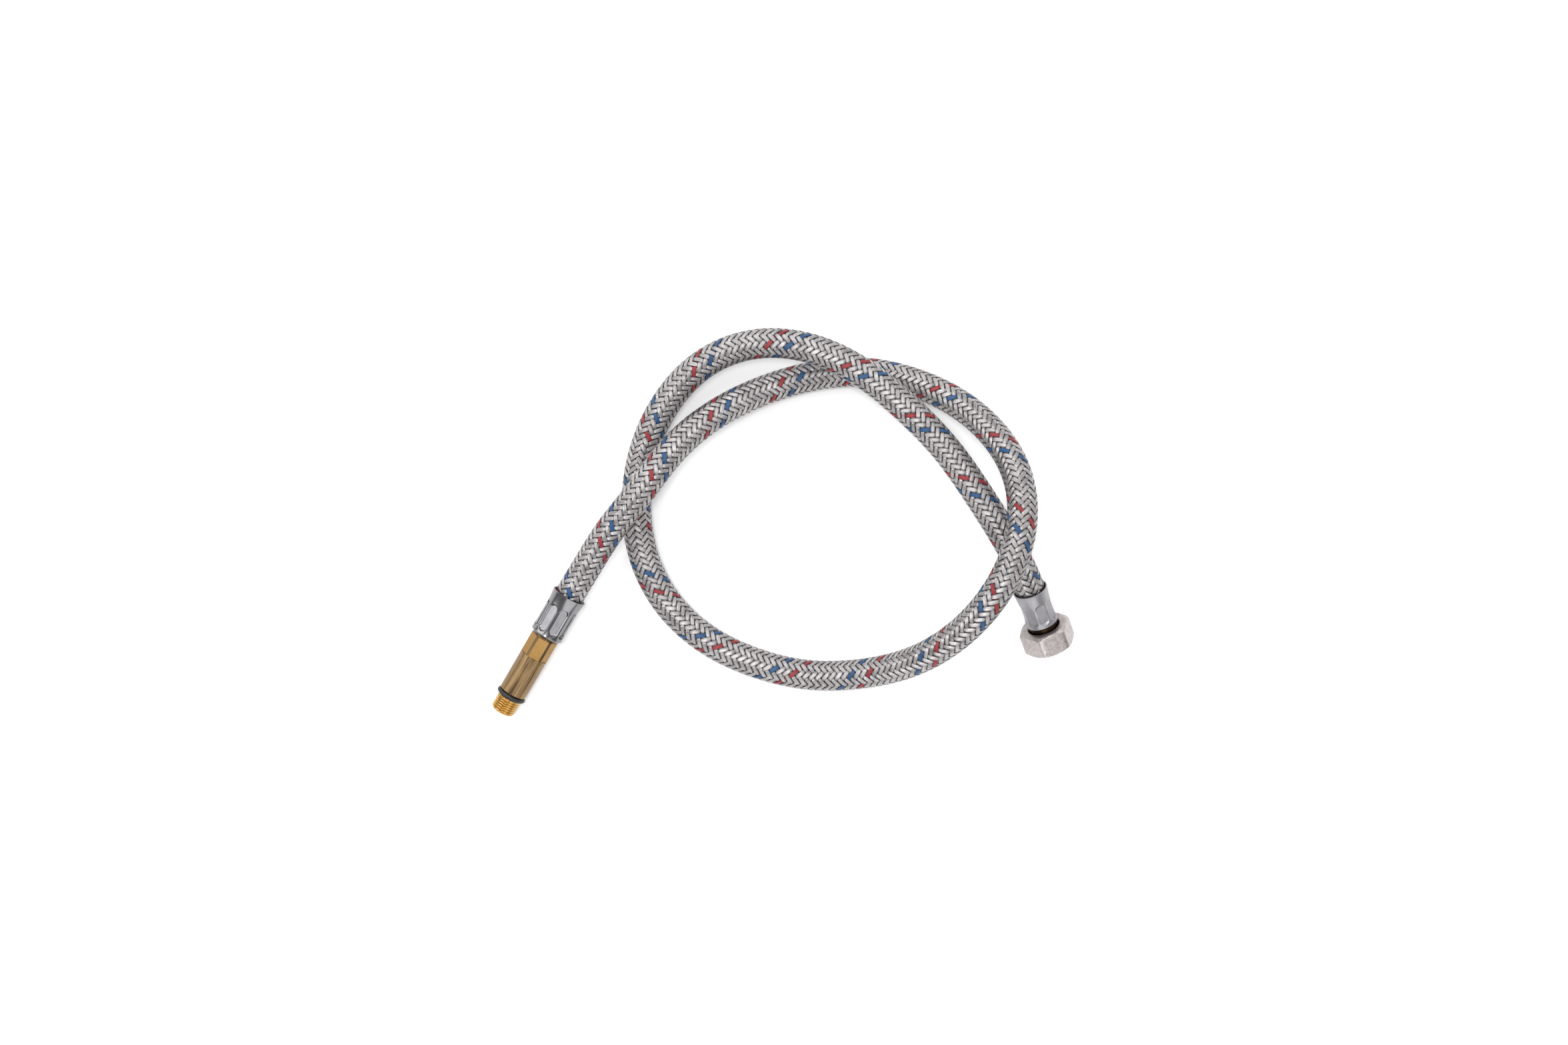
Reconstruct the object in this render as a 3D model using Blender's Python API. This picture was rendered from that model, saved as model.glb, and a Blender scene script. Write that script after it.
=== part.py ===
"""Braided supply line: a stainless-braided rubber hose with a crimped fitting on each end.

One end is a long male M10 x 1 tap tail with an O-ring, the other a swivel nut, G 3/8, on a
flanged insert with a flat sealing washer. The hose lies in one loose overhand knot.
Metres, +Z up. The origin is on the surface that the line lies on, in the middle of the box
that holds the two end fittings.
"""
import math

import bmesh
import bpy
import numpy as np
from mathutils import Matrix, Vector

# Clearance between pieces that touch on the real object
GAP = 0.0003

# Hose: a woven wire sleeve over a rubber liner
HOSE_RADIUS = 0.0060
BRAID_WALL = 0.0004
LINER_WALL = 0.0008
HOSE_SIDES = 12
HOSE_STEP = 0.015  # distance between the points of the hose solids

# The line that the hose follows from the mouth of the male ferrule to the mouth of the nut
# ferrule: X and Y in metres, and the height of its middle in hose diameters. It crosses over,
# under and over itself on the way out, then under, over and under on the way back.
ROUTE = [
    (-0.0863, 0.0212, 0.985), (-0.0789, 0.0333, 1.13), (-0.0697, 0.0473, 1.37), (-0.0587, 0.0610, 1.61),
    (-0.0440, 0.0799, 1.52), (-0.0270, 0.0942, 1.15), (-0.0070, 0.1043, 0.73), (0.0130, 0.1100, 0.54),
    (0.0330, 0.1113, 0.54), (0.0524, 0.1070, 0.77), (0.0698, 0.0982, 1.25), (0.0842, 0.0842, 1.95),
    (0.0917, 0.0682, 2.65), (0.0928, 0.0518, 3.10), (0.0888, 0.0355, 3.25), (0.0796, 0.0188, 3.02),
    (0.0674, 0.0054, 2.40), (0.0504, -0.0053, 1.51), (0.0300, -0.0106, 0.82), (0.0100, -0.0112, 0.54),
    (-0.0120, -0.0062, 0.50), (-0.0320, 0.0036, 0.50), (-0.0480, 0.0190, 0.50), (-0.0575, 0.0390, 0.50),
    (-0.0598, 0.0600, 0.51), (-0.0568, 0.0790, 0.60), (-0.0480, 0.0980, 0.80), (-0.0340, 0.1130, 1.06),
    (-0.0156, 0.1212, 1.31), (0.0050, 0.1213, 1.52), (0.0270, 0.1128, 1.64), (0.0480, 0.0966, 1.78),
    (0.0650, 0.0786, 1.95), (0.0780, 0.0598, 2.11), (0.0886, 0.0426, 2.14), (0.0978, 0.0240, 1.75),
]

# Directions of the two fittings, outwards: compass angle from +X and dip below the horizontal
MALE_HEADING = math.radians(-120.9)
MALE_DIP = math.radians(7)
NUT_HEADING = math.radians(-67)
NUT_DIP = math.radians(24)

# Crimped ferrules: thin flared sleeves with eight pressed panels and an inturned lip
FERRULE_WALL = 0.0005
FERRULE_WAIST = HOSE_RADIUS + 0.0006
FERRULE_FLARE = 0.0005  # how far the mouth stands out from the waist
FOOT_FLARE = 0.0004
MOUTH_FLARE_LENGTH = 0.0045
FOOT_FLARE_LENGTH = 0.0040
FERRULE_EDGE = 0.0008  # rounding where the foot turns in to the lip
CRIMP_DEPTH = 0.00045
CRIMP_COUNT = 8
CRIMP_MARGIN = 0.0042  # from each end of the ferrule to the end of a panel
CRIMP_RUNOUT = 0.0022  # length over which a panel fades into the sleeve
MALE_FERRULE_LENGTH = 0.0189
MALE_CRIMP_TURN = math.radians(22.5)
NUT_FERRULE_LENGTH = 0.0162
NUT_CRIMP_TURN = 0.0
SQUEEZE_LENGTH = 0.0015  # from a ferrule's mouth to where the hose is fully pressed

# Barbed shank that both brass tails have inside the hose
SHANK_START = 0.0025
BARB_COUNT = 4
BARB_HEIGHT = 0.00035
BARB_SHARE = 0.8  # of each barb's length that slopes up
SHANK_END = 0.0010  # plain length between the last barb and the collar
SHANK_BORE = 0.0023
COLLAR_RADIUS = HOSE_RADIUS - 0.0012  # it stops the end of the hose
COLLAR_LENGTH = 0.0013
NECK_RADIUS = 0.0041  # the groove that the ferrule's lip closes into

# Male tail
HEX_FLATS = 0.00508  # half the distance across the flats
TAIL_RADIUS = 0.00565
HEX_LENGTH = 0.0097
HEX_TURN = math.radians(-8)
TAIL_LENGTH = 0.0174
M10_MAJOR = 0.00492
M10_PITCH = 0.001
M10_DEPTH = 0.0006
M10_LENGTH = 0.0067
M10_CHAMFER = 0.0009
TIP_BEVEL = 0.0005  # inside edge of the tail's tip
O_RING_SECTION = 0.0009  # radius of the ring's round section
O_RING_GROOVE = 0.0040

# Swivel nut and its insert
NUT_FLATS = 0.0095  # half the distance across the flats
NUT_HEIGHT = 0.0093
NUT_TURN = math.radians(-32)  # a corner's angle round the axis
NUT_STANDOFF = 0.0015  # from the ferrule's foot to the nut's back face
NUT_BACK_WALL = 0.0013
NUT_FACE_RADIUS = 0.0091
NUT_CHAMFER = 0.0011
G38_MINOR = 0.00748
G38_DEPTH = 0.00075
G38_PITCH = 0.001337
G38_TURNS = 4
STEM_RADIUS = 0.0058
STEM_CLEARANCE = 0.0006  # round the stem, inside the nut's back wall
FLANGE_RADIUS = 0.0070
FLANGE_THICKNESS = 0.0010
NUT_TRAVEL = 0.0012  # how far the nut slides back towards the ferrule
WASHER_THICKNESS = 0.0015
WASHER_HOLE = 0.0045

ROUND_SEGMENTS = 32
FERRULE_SEGMENTS = 6 * CRIMP_COUNT  # so that panel corners and middles fall on points
SIXFOLD_SEGMENTS = 36  # a multiple of 12, for the same reason


def clear_scene():
    for obj in list(bpy.data.objects):
        bpy.data.objects.remove(obj, do_unlink=True)


def material(name, colour, roughness, metallic):
    finish = bpy.data.materials.new(name)
    finish.use_nodes = True
    shader = finish.node_tree.nodes["Principled BSDF"]
    shader.inputs["Base Color"].default_value = (*colour, 1.0)
    shader.inputs["Roughness"].default_value = roughness
    shader.inputs["Metallic"].default_value = metallic
    return finish


def direction(heading, dip):
    flat = math.cos(dip)
    return Vector((math.cos(heading) * flat, math.sin(heading) * flat, -math.sin(dip)))


def fitting_frame(name, mouth, heading, dip):
    """An empty at a ferrule's mouth: +Z runs out along the fitting, +X is its upper side."""
    outward = direction(heading, dip)
    upper = direction(heading, dip - math.pi / 2)
    side = outward.cross(upper)
    frame = bpy.data.objects.new(name, None)
    frame.empty_display_size = 0.02
    bpy.context.collection.objects.link(frame)
    turn = Matrix((upper, side, outward)).transposed().to_4x4()
    frame.matrix_world = Matrix.Translation(mouth) @ turn
    return frame


def ring_solid(name, rows, segments, finish, frame, along=0.0, turn=0.0):
    """A closed ring about +Z. Each row is (radius or radius function of the angle, z)."""
    mesh = bpy.data.meshes.new(name)
    shell = bmesh.new()
    rings = []
    for radius, z in rows:
        ring = []
        for step in range(segments):
            angle = 2 * math.pi * step / segments
            reach = radius(angle) if callable(radius) else radius
            ring.append(shell.verts.new((reach * math.cos(angle), reach * math.sin(angle), z)))
        rings.append(ring)
    for index, ring in enumerate(rings):
        following = rings[(index + 1) % len(rings)]
        for step in range(segments):
            beside = (step + 1) % segments
            shell.faces.new((ring[step], ring[beside], following[beside], following[step]))
    bmesh.ops.recalc_face_normals(shell, faces=shell.faces)
    shell.to_mesh(mesh)
    shell.free()
    mesh.shade_smooth()
    mesh.set_sharp_from_angle(angle=math.radians(30))
    mesh.materials.append(finish)
    obj = bpy.data.objects.new(name, mesh)
    bpy.context.collection.objects.link(obj)
    obj.parent = frame
    obj.location = (0, 0, along)
    obj.rotation_euler = (0, 0, turn)
    return obj


def smooth_route(points, start_direction, end_direction, step):
    """Points a step apart on the cubic spline through the route, with its end directions set."""
    knots = np.array(points)
    spans = np.linalg.norm(np.diff(knots, axis=0), axis=1)
    slopes = np.diff(knots, axis=0) / spans[:, None]
    count = len(knots)
    system = np.eye(count)
    target = np.zeros((count, 3))
    target[0] = start_direction
    target[-1] = end_direction
    for i in range(1, count - 1):
        before, after = spans[i - 1], spans[i]
        system[i, i - 1:i + 2] = (after, 2 * (before + after), before)
        target[i] = 3 * (after * slopes[i - 1] + before * slopes[i])
    tangents = np.linalg.solve(system, target)
    fine = []
    for i, span in enumerate(spans):
        for t in np.linspace(0, 1, 20, endpoint=False):
            fine.append(
                knots[i] * (1 + 2 * t) * (1 - t) ** 2 + tangents[i] * span * t * (1 - t) ** 2
                + knots[i + 1] * t * t * (3 - 2 * t) + tangents[i + 1] * span * t * t * (t - 1)
            )
    fine.append(knots[-1])
    fine = np.array(fine)
    travelled = np.concatenate([[0], np.cumsum(np.linalg.norm(np.diff(fine, axis=0), axis=1))])
    stops = np.linspace(0, travelled[-1], round(travelled[-1] / step) + 1)
    return np.column_stack([np.interp(stops, travelled, fine[:, k]) for k in range(3)])


def squeezed_radius():
    """Outer radius of the hose where the ferrules press it."""
    return FERRULE_WAIST - CRIMP_DEPTH - FERRULE_WALL - GAP


def liner_radius(sleeve_radius):
    return sleeve_radius - BRAID_WALL - GAP


def barb_radius():
    """The barbs stay clear of the flats of the squeezed liner's many-sided bore."""
    flat = liner_radius(squeezed_radius()) * math.cos(math.pi / HOSE_SIDES)
    return flat - LINER_WALL - GAP


def hose_end(ferrule_length):
    """How far past the ferrule's mouth the hose runs, up to the brass collar."""
    return collar_start(ferrule_length) - GAP


def collar_start(ferrule_length):
    return ferrule_length - FERRULE_WALL - GAP - COLLAR_LENGTH


def hose_tube(name, line, free_radius, pressed_radius, wall, finish):
    """One layer of the hose: a tube along the line, narrower inside the two ferrules."""
    curve = bpy.data.curves.new(name, "CURVE")
    curve.dimensions = "3D"
    curve.bevel_depth = free_radius
    curve.bevel_resolution = HOSE_SIDES // 2 - 2
    curve.use_fill_caps = False
    spline = curve.splines.new("POLY")
    spline.points.add(len(line) - 1)
    for point, (place, pressed) in zip(spline.points, line):
        point.co = (*place, 1)
        point.radius = pressed_radius / free_radius if pressed else 1.0
    curve.materials.append(finish)
    obj = bpy.data.objects.new(name, curve)
    bpy.context.collection.objects.link(obj)
    shell = obj.modifiers.new("wall", "SOLIDIFY")
    shell.thickness = wall
    shell.offset = -1
    shell.use_even_offset = True
    return obj


def hose_line(male_mouth, male_out, nut_mouth, nut_out):
    """The hose's points with whether the ferrule presses it there, from end to end."""
    male_end = hose_end(MALE_FERRULE_LENGTH)
    nut_end = hose_end(NUT_FERRULE_LENGTH)
    points = [(x, y, height * 2 * HOSE_RADIUS) for x, y, height in ROUTE]
    free = smooth_route(points, -male_out, nut_out, HOSE_STEP)
    line = [(male_mouth + male_out * male_end, True), (male_mouth + male_out * SQUEEZE_LENGTH, True)]
    line += [(Vector(place), False) for place in free[1:-1]]
    line += [(nut_mouth + nut_out * SQUEEZE_LENGTH, True), (nut_mouth + nut_out * nut_end, True)]
    return line


def ferrule_base(length):
    """Outer radius of an uncrimped ferrule at a height z: flared mouth, waist, flared foot."""
    def radius(z):
        mouth = max(0.0, 1 - z / MOUTH_FLARE_LENGTH)
        foot = max(0.0, 1 - (length - z) / FOOT_FLARE_LENGTH)
        return FERRULE_WAIST + FERRULE_FLARE * mouth * mouth * (3 - 2 * mouth) + FOOT_FLARE * foot
    return radius


def crimp_dent(length, z, angle, base):
    """How far the nearest flat panel pushes the sleeve in at this height and angle."""
    into = min(z - CRIMP_MARGIN, length - CRIMP_MARGIN - z)
    fade = min(1.0, max(0.0, 1 + into / CRIMP_RUNOUT))
    flat = FERRULE_WAIST - CRIMP_DEPTH + (1 - fade) ** 2 * 2 * CRIMP_DEPTH
    pitch = 2 * math.pi / CRIMP_COUNT
    off = (angle + pitch / 2) % pitch - pitch / 2
    return max(0.0, base - flat / math.cos(off))


def ferrule(name, length, crimp_turn, finish, frame):
    base = ferrule_base(length)
    inside_end = length - FERRULE_WALL
    lip_radius = NECK_RADIUS + GAP

    def wall_row(z, inset):
        level = min(z, length - FERRULE_EDGE)
        outer = base(level) - inset
        return (lambda angle: outer - crimp_dent(length, z, angle, base(level)), z)

    heights = list(np.linspace(0, length - FERRULE_EDGE, 12))
    rows = [wall_row(z, 0.0) for z in heights]
    rows.append((base(length) - 0.45 * FERRULE_EDGE, length - 0.4 * FERRULE_EDGE))
    rows.append((base(length) - FERRULE_EDGE, length))
    rows.append((lip_radius, length))
    rows.append((lip_radius, inside_end))
    rows.append((base(length) - FERRULE_EDGE - FERRULE_WALL, inside_end))
    rows += [wall_row(z, FERRULE_WALL) for z in reversed(heights)]
    return ring_solid(name, rows, FERRULE_SEGMENTS, finish, frame, turn=crimp_turn)


def shank_rows(ferrule_length):
    """Outside of a tail from its inner end to the end of the neck: barbs, collar, neck."""
    barb = barb_radius()
    collar = collar_start(ferrule_length)
    pitch = (collar - SHANK_START - SHANK_END) / BARB_COUNT
    rows = []
    for index in range(BARB_COUNT):
        start = SHANK_START + index * pitch
        rows.append((barb - BARB_HEIGHT, start))
        rows.append((barb, start + BARB_SHARE * pitch))
    rows.append((barb - BARB_HEIGHT, SHANK_START + BARB_COUNT * pitch))
    rows.append((barb - BARB_HEIGHT, collar))
    rows.append((COLLAR_RADIUS, collar))
    rows.append((COLLAR_RADIUS, collar + COLLAR_LENGTH))
    rows.append((NECK_RADIUS, collar + COLLAR_LENGTH))
    rows.append((NECK_RADIUS, ferrule_length + GAP))
    return rows


def flats_radius(half_flats, round_radius):
    """Radius round a bar with six flats milled on it."""
    def radius(angle):
        off = (angle + math.pi / 6) % (math.pi / 3) - math.pi / 6
        return min(round_radius, half_flats / math.cos(off))
    return radius


def male_stations():
    """Heights along the male fitting: hex start, hex end, shoulder, thread start, tip."""
    hex_start = MALE_FERRULE_LENGTH + GAP
    hex_end = hex_start + HEX_LENGTH
    shoulder = hex_end + TAIL_LENGTH
    thread = shoulder + 2 * (O_RING_SECTION + GAP)
    return hex_start, hex_end, shoulder, thread, thread + M10_LENGTH


def male_nipple(finish, frame):
    hex_start, hex_end, shoulder, thread, tip = male_stations()
    milled = flats_radius(HEX_FLATS, TAIL_RADIUS)
    step = 0.0001  # the flats end in a square step
    rows = shank_rows(MALE_FERRULE_LENGTH)
    rows += [(milled, hex_start), (milled, hex_end), (TAIL_RADIUS, hex_end + step)]
    rows += [(TAIL_RADIUS, shoulder), (O_RING_GROOVE, shoulder), (O_RING_GROOVE, thread - 0.0002)]
    turns = int((M10_LENGTH - M10_CHAMFER) / M10_PITCH)
    for index in range(turns):
        start = thread + index * M10_PITCH
        rows += [(M10_MAJOR - M10_DEPTH, start), (M10_MAJOR, start + 0.4 * M10_PITCH)]
        rows += [(M10_MAJOR, start + 0.6 * M10_PITCH)]
    rows += [(M10_MAJOR - M10_DEPTH, thread + turns * M10_PITCH), (M10_MAJOR - M10_CHAMFER, tip)]
    rows += [(SHANK_BORE + TIP_BEVEL, tip), (SHANK_BORE, tip - TIP_BEVEL), (SHANK_BORE, SHANK_START)]
    return ring_solid("male_nipple", rows, SIXFOLD_SEGMENTS, finish, frame, turn=HEX_TURN)


def male_o_ring(finish, frame):
    shoulder = male_stations()[2]
    major = O_RING_GROOVE + GAP + O_RING_SECTION
    around = [2 * math.pi * k / 10 for k in range(10)]
    rows = [(major + O_RING_SECTION * math.cos(a), O_RING_SECTION * math.sin(a)) for a in around]
    middle = shoulder + GAP + O_RING_SECTION
    return ring_solid("male_o_ring", rows, ROUND_SEGMENTS, finish, frame, along=middle)


def nut_stations():
    """Heights along the nut fitting: nut back, nut front, flange back, flange front, washer back."""
    nut_back = NUT_FERRULE_LENGTH + NUT_STANDOFF
    flange_back = nut_back + NUT_BACK_WALL + GAP
    flange_front = flange_back + FLANGE_THICKNESS
    washer_back = flange_front + GAP + NUT_TRAVEL
    return nut_back, nut_back + NUT_HEIGHT, flange_back, flange_front, washer_back


def nut_insert(finish, frame):
    _, _, flange_back, flange_front, _ = nut_stations()
    stem_start = NUT_FERRULE_LENGTH + GAP
    rows = shank_rows(NUT_FERRULE_LENGTH)
    rows += [(STEM_RADIUS, stem_start), (STEM_RADIUS, flange_back), (FLANGE_RADIUS, flange_back)]
    rows += [(FLANGE_RADIUS, flange_front), (SHANK_BORE, flange_front), (SHANK_BORE, SHANK_START)]
    return ring_solid("nut_insert", rows, ROUND_SEGMENTS, finish, frame)


def swivel_nut(finish, frame):
    corner = NUT_FLATS / math.cos(math.pi / 6)
    cone = (corner - NUT_FACE_RADIUS) / NUT_CHAMFER

    def hexagon(depth):
        """The nut's outline a depth below an end face, with its corners turned off."""
        reach = NUT_FACE_RADIUS + depth * cone
        return lambda angle: min(reach, NUT_FLATS / math.cos(angle % (math.pi / 3) - math.pi / 6))

    bore = STEM_RADIUS + STEM_CLEARANCE
    depths = [0.0, 0.4 * NUT_CHAMFER, 0.7 * NUT_CHAMFER, NUT_CHAMFER]
    rows = [(hexagon(depth), depth) for depth in depths]
    rows += [(hexagon(depth), NUT_HEIGHT - depth) for depth in reversed(depths)]
    rows.append((G38_MINOR + G38_DEPTH, NUT_HEIGHT))
    mouth = NUT_HEIGHT - G38_DEPTH
    for index in range(G38_TURNS):
        start = mouth - index * G38_PITCH
        rows += [(G38_MINOR, start), (G38_MINOR, start - 0.3 * G38_PITCH)]
        rows += [(G38_MINOR + G38_DEPTH, start - 0.65 * G38_PITCH)]
    rows += [(G38_MINOR, mouth - G38_TURNS * G38_PITCH), (G38_MINOR, NUT_BACK_WALL)]
    rows += [(bore, NUT_BACK_WALL), (bore, GAP), (bore + GAP, 0.0)]
    nut_back = nut_stations()[0]
    return ring_solid("swivel_nut", rows, SIXFOLD_SEGMENTS, finish, frame, along=nut_back, turn=NUT_TURN)


def sealing_washer(finish, frame):
    outer = G38_MINOR - GAP
    rows = [(outer, 0.0), (outer, WASHER_THICKNESS), (WASHER_HOLE, WASHER_THICKNESS), (WASHER_HOLE, 0.0)]
    washer_back = nut_stations()[4]
    return ring_solid("sealing_washer", rows, ROUND_SEGMENTS, finish, frame, along=washer_back)


def build():
    clear_scene()
    steel_wire = material("steel_wire", (0.55, 0.54, 0.52), 0.35, 0.9)
    black_rubber = material("black_rubber", (0.015, 0.015, 0.016), 0.6, 0.0)
    satin_steel = material("satin_steel", (0.50, 0.50, 0.52), 0.3, 1.0)
    brass = material("brass", (0.58, 0.38, 0.15), 0.3, 1.0)
    nickel = material("nickel_plate", (0.55, 0.51, 0.48), 0.38, 1.0)
    fibre = material("sealing_fibre", (0.05, 0.05, 0.05), 0.8, 0.0)

    rest = [Vector((x, y, height * 2 * HOSE_RADIUS)) for x, y, height in (ROUTE[0], ROUTE[-1])]
    male_out = direction(MALE_HEADING, MALE_DIP)
    nut_out = direction(NUT_HEADING, NUT_DIP)
    male_end = fitting_frame("male_end", rest[0], MALE_HEADING, MALE_DIP)
    nut_end = fitting_frame("nut_end", rest[1], NUT_HEADING, NUT_DIP)

    line = hose_line(rest[0], male_out, rest[1], nut_out)
    pressed = squeezed_radius()
    hose_tube("hose_braid", line, HOSE_RADIUS, pressed, BRAID_WALL, steel_wire)
    hose_tube("hose_liner", line, liner_radius(HOSE_RADIUS), liner_radius(pressed), LINER_WALL,
              black_rubber)

    ferrule("male_ferrule", MALE_FERRULE_LENGTH, MALE_CRIMP_TURN, satin_steel, male_end)
    male_nipple(brass, male_end)
    male_o_ring(black_rubber, male_end)

    ferrule("nut_ferrule", NUT_FERRULE_LENGTH, NUT_CRIMP_TURN, satin_steel, nut_end)
    nut_insert(brass, nut_end)
    swivel_nut(nickel, nut_end)
    sealing_washer(fibre, nut_end)


build()
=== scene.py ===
"""Looks of a braided supply line: woven steel hose, crimped ferrules, brass tail, swivel nut."""
import math

import bpy
import numpy as np
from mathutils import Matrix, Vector


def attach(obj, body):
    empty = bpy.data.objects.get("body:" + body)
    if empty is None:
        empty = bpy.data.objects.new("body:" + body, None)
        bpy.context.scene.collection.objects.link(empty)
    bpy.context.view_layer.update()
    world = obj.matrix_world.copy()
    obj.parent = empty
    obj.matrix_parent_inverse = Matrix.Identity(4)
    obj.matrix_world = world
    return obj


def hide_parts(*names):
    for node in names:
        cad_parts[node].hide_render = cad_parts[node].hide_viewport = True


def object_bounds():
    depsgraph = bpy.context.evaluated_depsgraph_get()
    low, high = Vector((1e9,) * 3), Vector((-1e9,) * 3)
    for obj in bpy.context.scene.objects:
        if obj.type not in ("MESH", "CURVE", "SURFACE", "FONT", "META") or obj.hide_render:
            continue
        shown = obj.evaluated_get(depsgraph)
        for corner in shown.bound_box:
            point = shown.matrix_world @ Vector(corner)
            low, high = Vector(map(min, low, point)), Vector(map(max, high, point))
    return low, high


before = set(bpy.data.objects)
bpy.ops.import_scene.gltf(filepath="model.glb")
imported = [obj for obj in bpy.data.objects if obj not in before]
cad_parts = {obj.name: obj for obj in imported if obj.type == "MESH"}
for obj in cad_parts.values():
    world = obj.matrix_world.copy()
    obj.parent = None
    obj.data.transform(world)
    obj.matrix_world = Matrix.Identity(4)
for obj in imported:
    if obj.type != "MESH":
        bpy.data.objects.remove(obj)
cad_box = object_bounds()

# ---------------------------------------------------------------- sizes, in metres

HOSE_RADIUS = 0.0060
PRESSED_RADIUS = 0.0053  # hose inside the ferrules
LINER_WALL = 0.0010
MALE_FERRULE_LENGTH = 0.0189
NUT_FERRULE_LENGTH = 0.0162
HOSE_TUCK = 0.0160  # hidden length inside the male ferrule
NUT_TUCK = 0.0133
NARROW_INSIDE, NARROW_OUTSIDE = 0.0015, 0.0012  # the hose narrows between these, either side of a mouth
LINE_STEP = 0.0015  # between points of the hose's middle line
SPLINE_STEPS = 40  # from one knot of the route to the next

# The hose's line from the male ferrule's mouth to the nut ferrule's mouth: X, Y, and the
# height of its middle in hose diameters
ROUTE = [
    (-0.0863, 0.0212, 0.985), (-0.0789, 0.0333, 1.13), (-0.0697, 0.0473, 1.37), (-0.0587, 0.0610, 1.61),
    (-0.0440, 0.0799, 1.52), (-0.0270, 0.0942, 1.15), (-0.0070, 0.1043, 0.73), (0.0130, 0.1100, 0.54),
    (0.0330, 0.1113, 0.54), (0.0524, 0.1070, 0.77), (0.0698, 0.0982, 1.25), (0.0842, 0.0842, 1.95),
    (0.0917, 0.0682, 2.65), (0.0928, 0.0518, 3.10), (0.0888, 0.0355, 3.25), (0.0796, 0.0188, 3.02),
    (0.0674, 0.0054, 2.40), (0.0504, -0.0053, 1.51), (0.0300, -0.0106, 0.82), (0.0100, -0.0112, 0.54),
    (-0.0120, -0.0062, 0.50), (-0.0320, 0.0036, 0.50), (-0.0480, 0.0190, 0.50), (-0.0575, 0.0390, 0.50),
    (-0.0598, 0.0600, 0.51), (-0.0568, 0.0790, 0.60), (-0.0480, 0.0980, 0.80), (-0.0340, 0.1130, 1.06),
    (-0.0156, 0.1212, 1.31), (0.0050, 0.1213, 1.52), (0.0270, 0.1128, 1.64), (0.0480, 0.0966, 1.78),
    (0.0650, 0.0786, 1.95), (0.0780, 0.0598, 2.11), (0.0886, 0.0426, 2.14), (0.0978, 0.0240, 1.75),
]
MALE_HEADING, MALE_DIP = math.radians(-120.9), math.radians(7)
NUT_HEADING, NUT_DIP = math.radians(-67), math.radians(24)

# Weave: twelve bands each way, two over and two under
CARRIERS = 12
REPEATS = CARRIERS / 4  # two over and two under take four bands
LEAD = 0.0328  # length of hose in one turn of a band
BAND_WIDTH = 0.00178
BAND_THICKNESS = 0.00031
BAND_LIFT = 0.00019
BAND_WAIST = 0.12  # share of its width that a band loses on its way between over and under
WIDTH_POWER, CROWN_POWER = 0.66, 0.6  # below 1, a band's section is squarer than an ellipse
BAND_BULGE = 0.10  # how far the middle of a band stands out, in band thicknesses
CHANGEOVER = 0.07  # the lower, the more suddenly a band goes from over to under
WEAVE_OFFSET = math.radians(45)  # puts the changes midway between crossings
BAND_SIDES = 10
BAND_STEP = 0.00038
COLUMN_ANGLE = math.radians(37.5)  # where the weave's own angles have a left-hand band on top
TRACER_START = 0.0265  # the red tracer's first crossing of the upper side, from the male ferrule
TRACER_GAP = 3  # bands from the red tracer to the blue one
WIRES_PER_BAND = 7
BANDS_PER_PIECE = 3  # more would make one mesh too large


# ---------------------------------------------------------------- node graphs

class Signal:
    """One output socket of a node, with arithmetic that adds Math nodes to its graph."""

    def __init__(self, graph, socket):
        self.graph = graph
        self.socket = socket

    def output(self, name):
        return Signal(self.graph, self.socket.node.outputs[name])

    def maths(self, operation, *others):
        return self.graph.add("ShaderNodeMath", {"operation": operation}, dict(enumerate((self, *others))))

    def flipped(self, operation, other):
        return self.graph.add("ShaderNodeMath", {"operation": operation}, {0: other, 1: self})

    def __add__(self, other):
        return self.maths("ADD", other)

    def __sub__(self, other):
        return self.maths("SUBTRACT", other)

    def __mul__(self, other):
        return self.maths("MULTIPLY", other)

    def __truediv__(self, other):
        return self.maths("DIVIDE", other)

    def __rsub__(self, other):
        return self.flipped("SUBTRACT", other)

    __radd__ = __add__
    __rmul__ = __mul__


class Graph:
    """A shader or geometry tree that nodes are added to by type, settings and inputs."""

    def __init__(self, tree):
        self.tree = tree

    def add(self, kind, settings=None, inputs=None, output=0):
        node = self.tree.nodes.new(kind)
        for key, value in (settings or {}).items():
            setattr(node, key, value)
        for key, value in (inputs or {}).items():
            socket = node.inputs[key]
            if isinstance(value, Signal):
                self.tree.links.new(value.socket, socket)
            else:
                socket.default_value = value
        return Signal(self, node.outputs[output]) if len(node.outputs) else node

    def mix(self, factor, first, second):
        """Blend of two colours, each a plain RGB or a signal."""
        first, second = ((*c, 1.0) if isinstance(c, tuple) else c for c in (first, second))
        return self.add("ShaderNodeMix", {"data_type": "RGBA"}, {0: factor, 6: first, 7: second}, 2)

    def noise(self, vector, scale, detail=3.0, roughness=0.5):
        inputs = {"Vector": vector, "Scale": scale, "Detail": detail, "Roughness": roughness}
        return self.add("ShaderNodeTexNoise", {}, inputs)

    def grain(self, vector, scales, detail=3.0, roughness=0.5):
        """Noise with its own scale along each of the three directions."""
        stretched = self.add("ShaderNodeVectorMath", {"operation": "MULTIPLY"}, {0: vector, 1: scales})
        return self.noise(stretched, 1.0, detail, roughness)

    def ramp(self, factor, low, high):
        """0 below low, 1 above high, straight between."""
        inputs = {"Value": factor, "From Min": low, "From Max": high}
        return self.add("ShaderNodeMapRange", {"clamp": True}, inputs)

    def bump(self, height, distance, strength):
        inputs = {"Height": height, "Distance": distance, "Strength": strength}
        return self.add("ShaderNodeBump", {}, inputs)


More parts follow.
